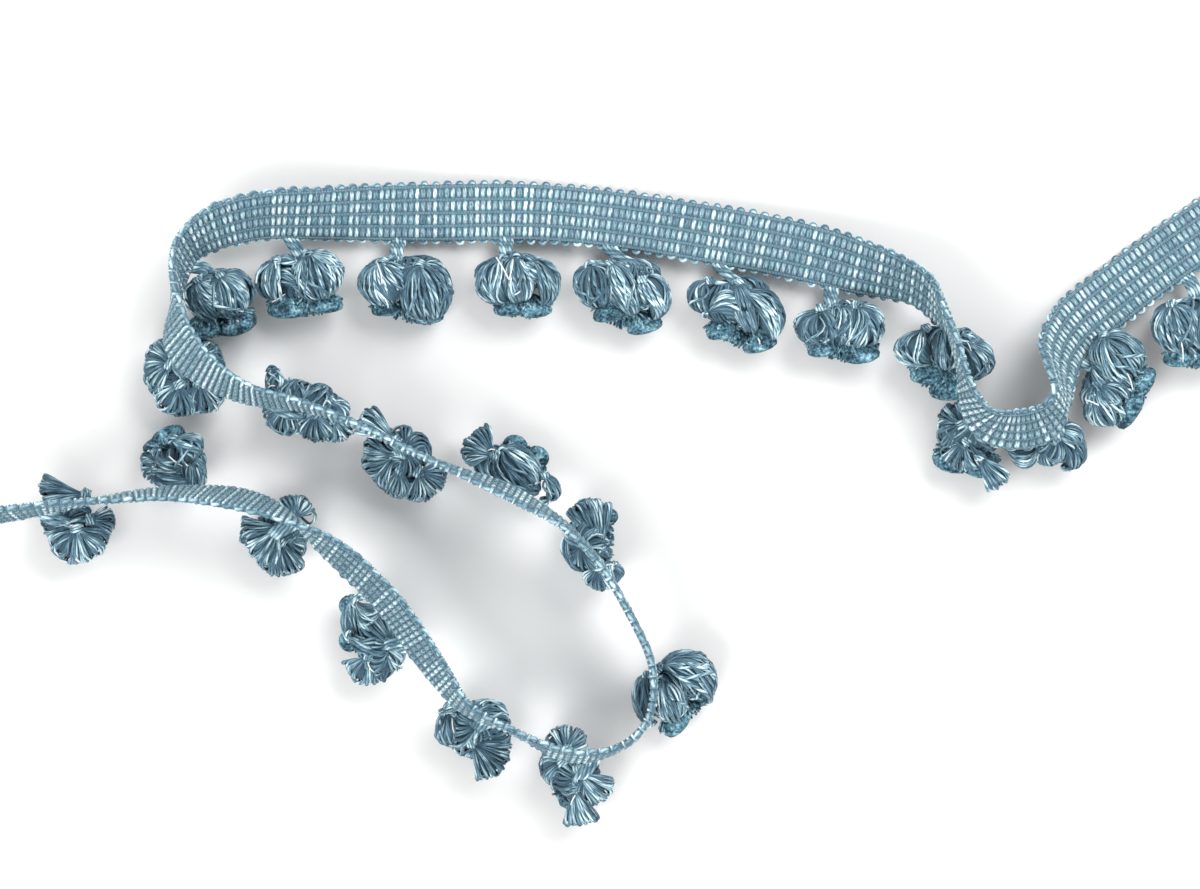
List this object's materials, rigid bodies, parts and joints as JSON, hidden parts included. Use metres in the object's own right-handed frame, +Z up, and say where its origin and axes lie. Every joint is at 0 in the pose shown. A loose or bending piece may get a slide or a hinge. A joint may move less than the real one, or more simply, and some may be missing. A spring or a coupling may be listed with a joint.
{
  "type": "pompom fringe trim",
  "caption": "Woven braid trim lying in loose folds, with looped yarn pompoms hanging from one edge on short necks.",
  "frame": {"origin": "centre of the bounding box, on the surface the trim lies on", "axes": "+Z up; +X along the longer side of the folded trim; +Y towards its straight run"},
  "size_m": [0.3266, 0.1664, 0.0348],
  "materials": {
    "braid": "matte two-tone woven braid",
    "yarn": "matte plied yarn"
  },
  "bodies": {
    "root": {"hanger_01": "yarn", "hanger_02": "yarn", "hanger_03": "yarn", "hanger_04": "yarn", "hanger_05": "yarn", "hanger_06": "yarn", "hanger_07": "yarn", "hanger_08": "yarn", "hanger_09": "yarn", "hanger_10": "yarn", "hanger_11": "yarn", "hanger_12": "yarn", "hanger_13": "yarn", "hanger_14": "yarn", "hanger_15": "yarn", "hanger_16": "yarn", "hanger_17": "yarn", "hanger_18": "yarn", "hanger_19": "yarn", "hanger_20": "yarn", "hanger_21": "yarn", "hanger_22": "yarn", "hanger_23": "yarn", "hanger_24": "yarn", "heading": "braid", "pompom_01": "yarn", "pompom_02": "yarn", "pompom_03": "yarn", "pompom_04": "yarn", "pompom_05": "yarn", "pompom_06": "yarn", "pompom_07": "yarn", "pompom_08": "yarn", "pompom_09": "yarn", "pompom_10": "yarn", "pompom_11": "yarn", "pompom_12": "yarn", "pompom_13": "yarn", "pompom_14": "yarn", "pompom_15": "yarn", "pompom_16": "yarn", "pompom_17": "yarn", "pompom_18": "yarn", "pompom_19": "yarn", "pompom_20": "yarn", "pompom_21": "yarn", "pompom_22": "yarn", "pompom_23": "yarn", "pompom_24": "yarn"}
  },
  "joints": []
}
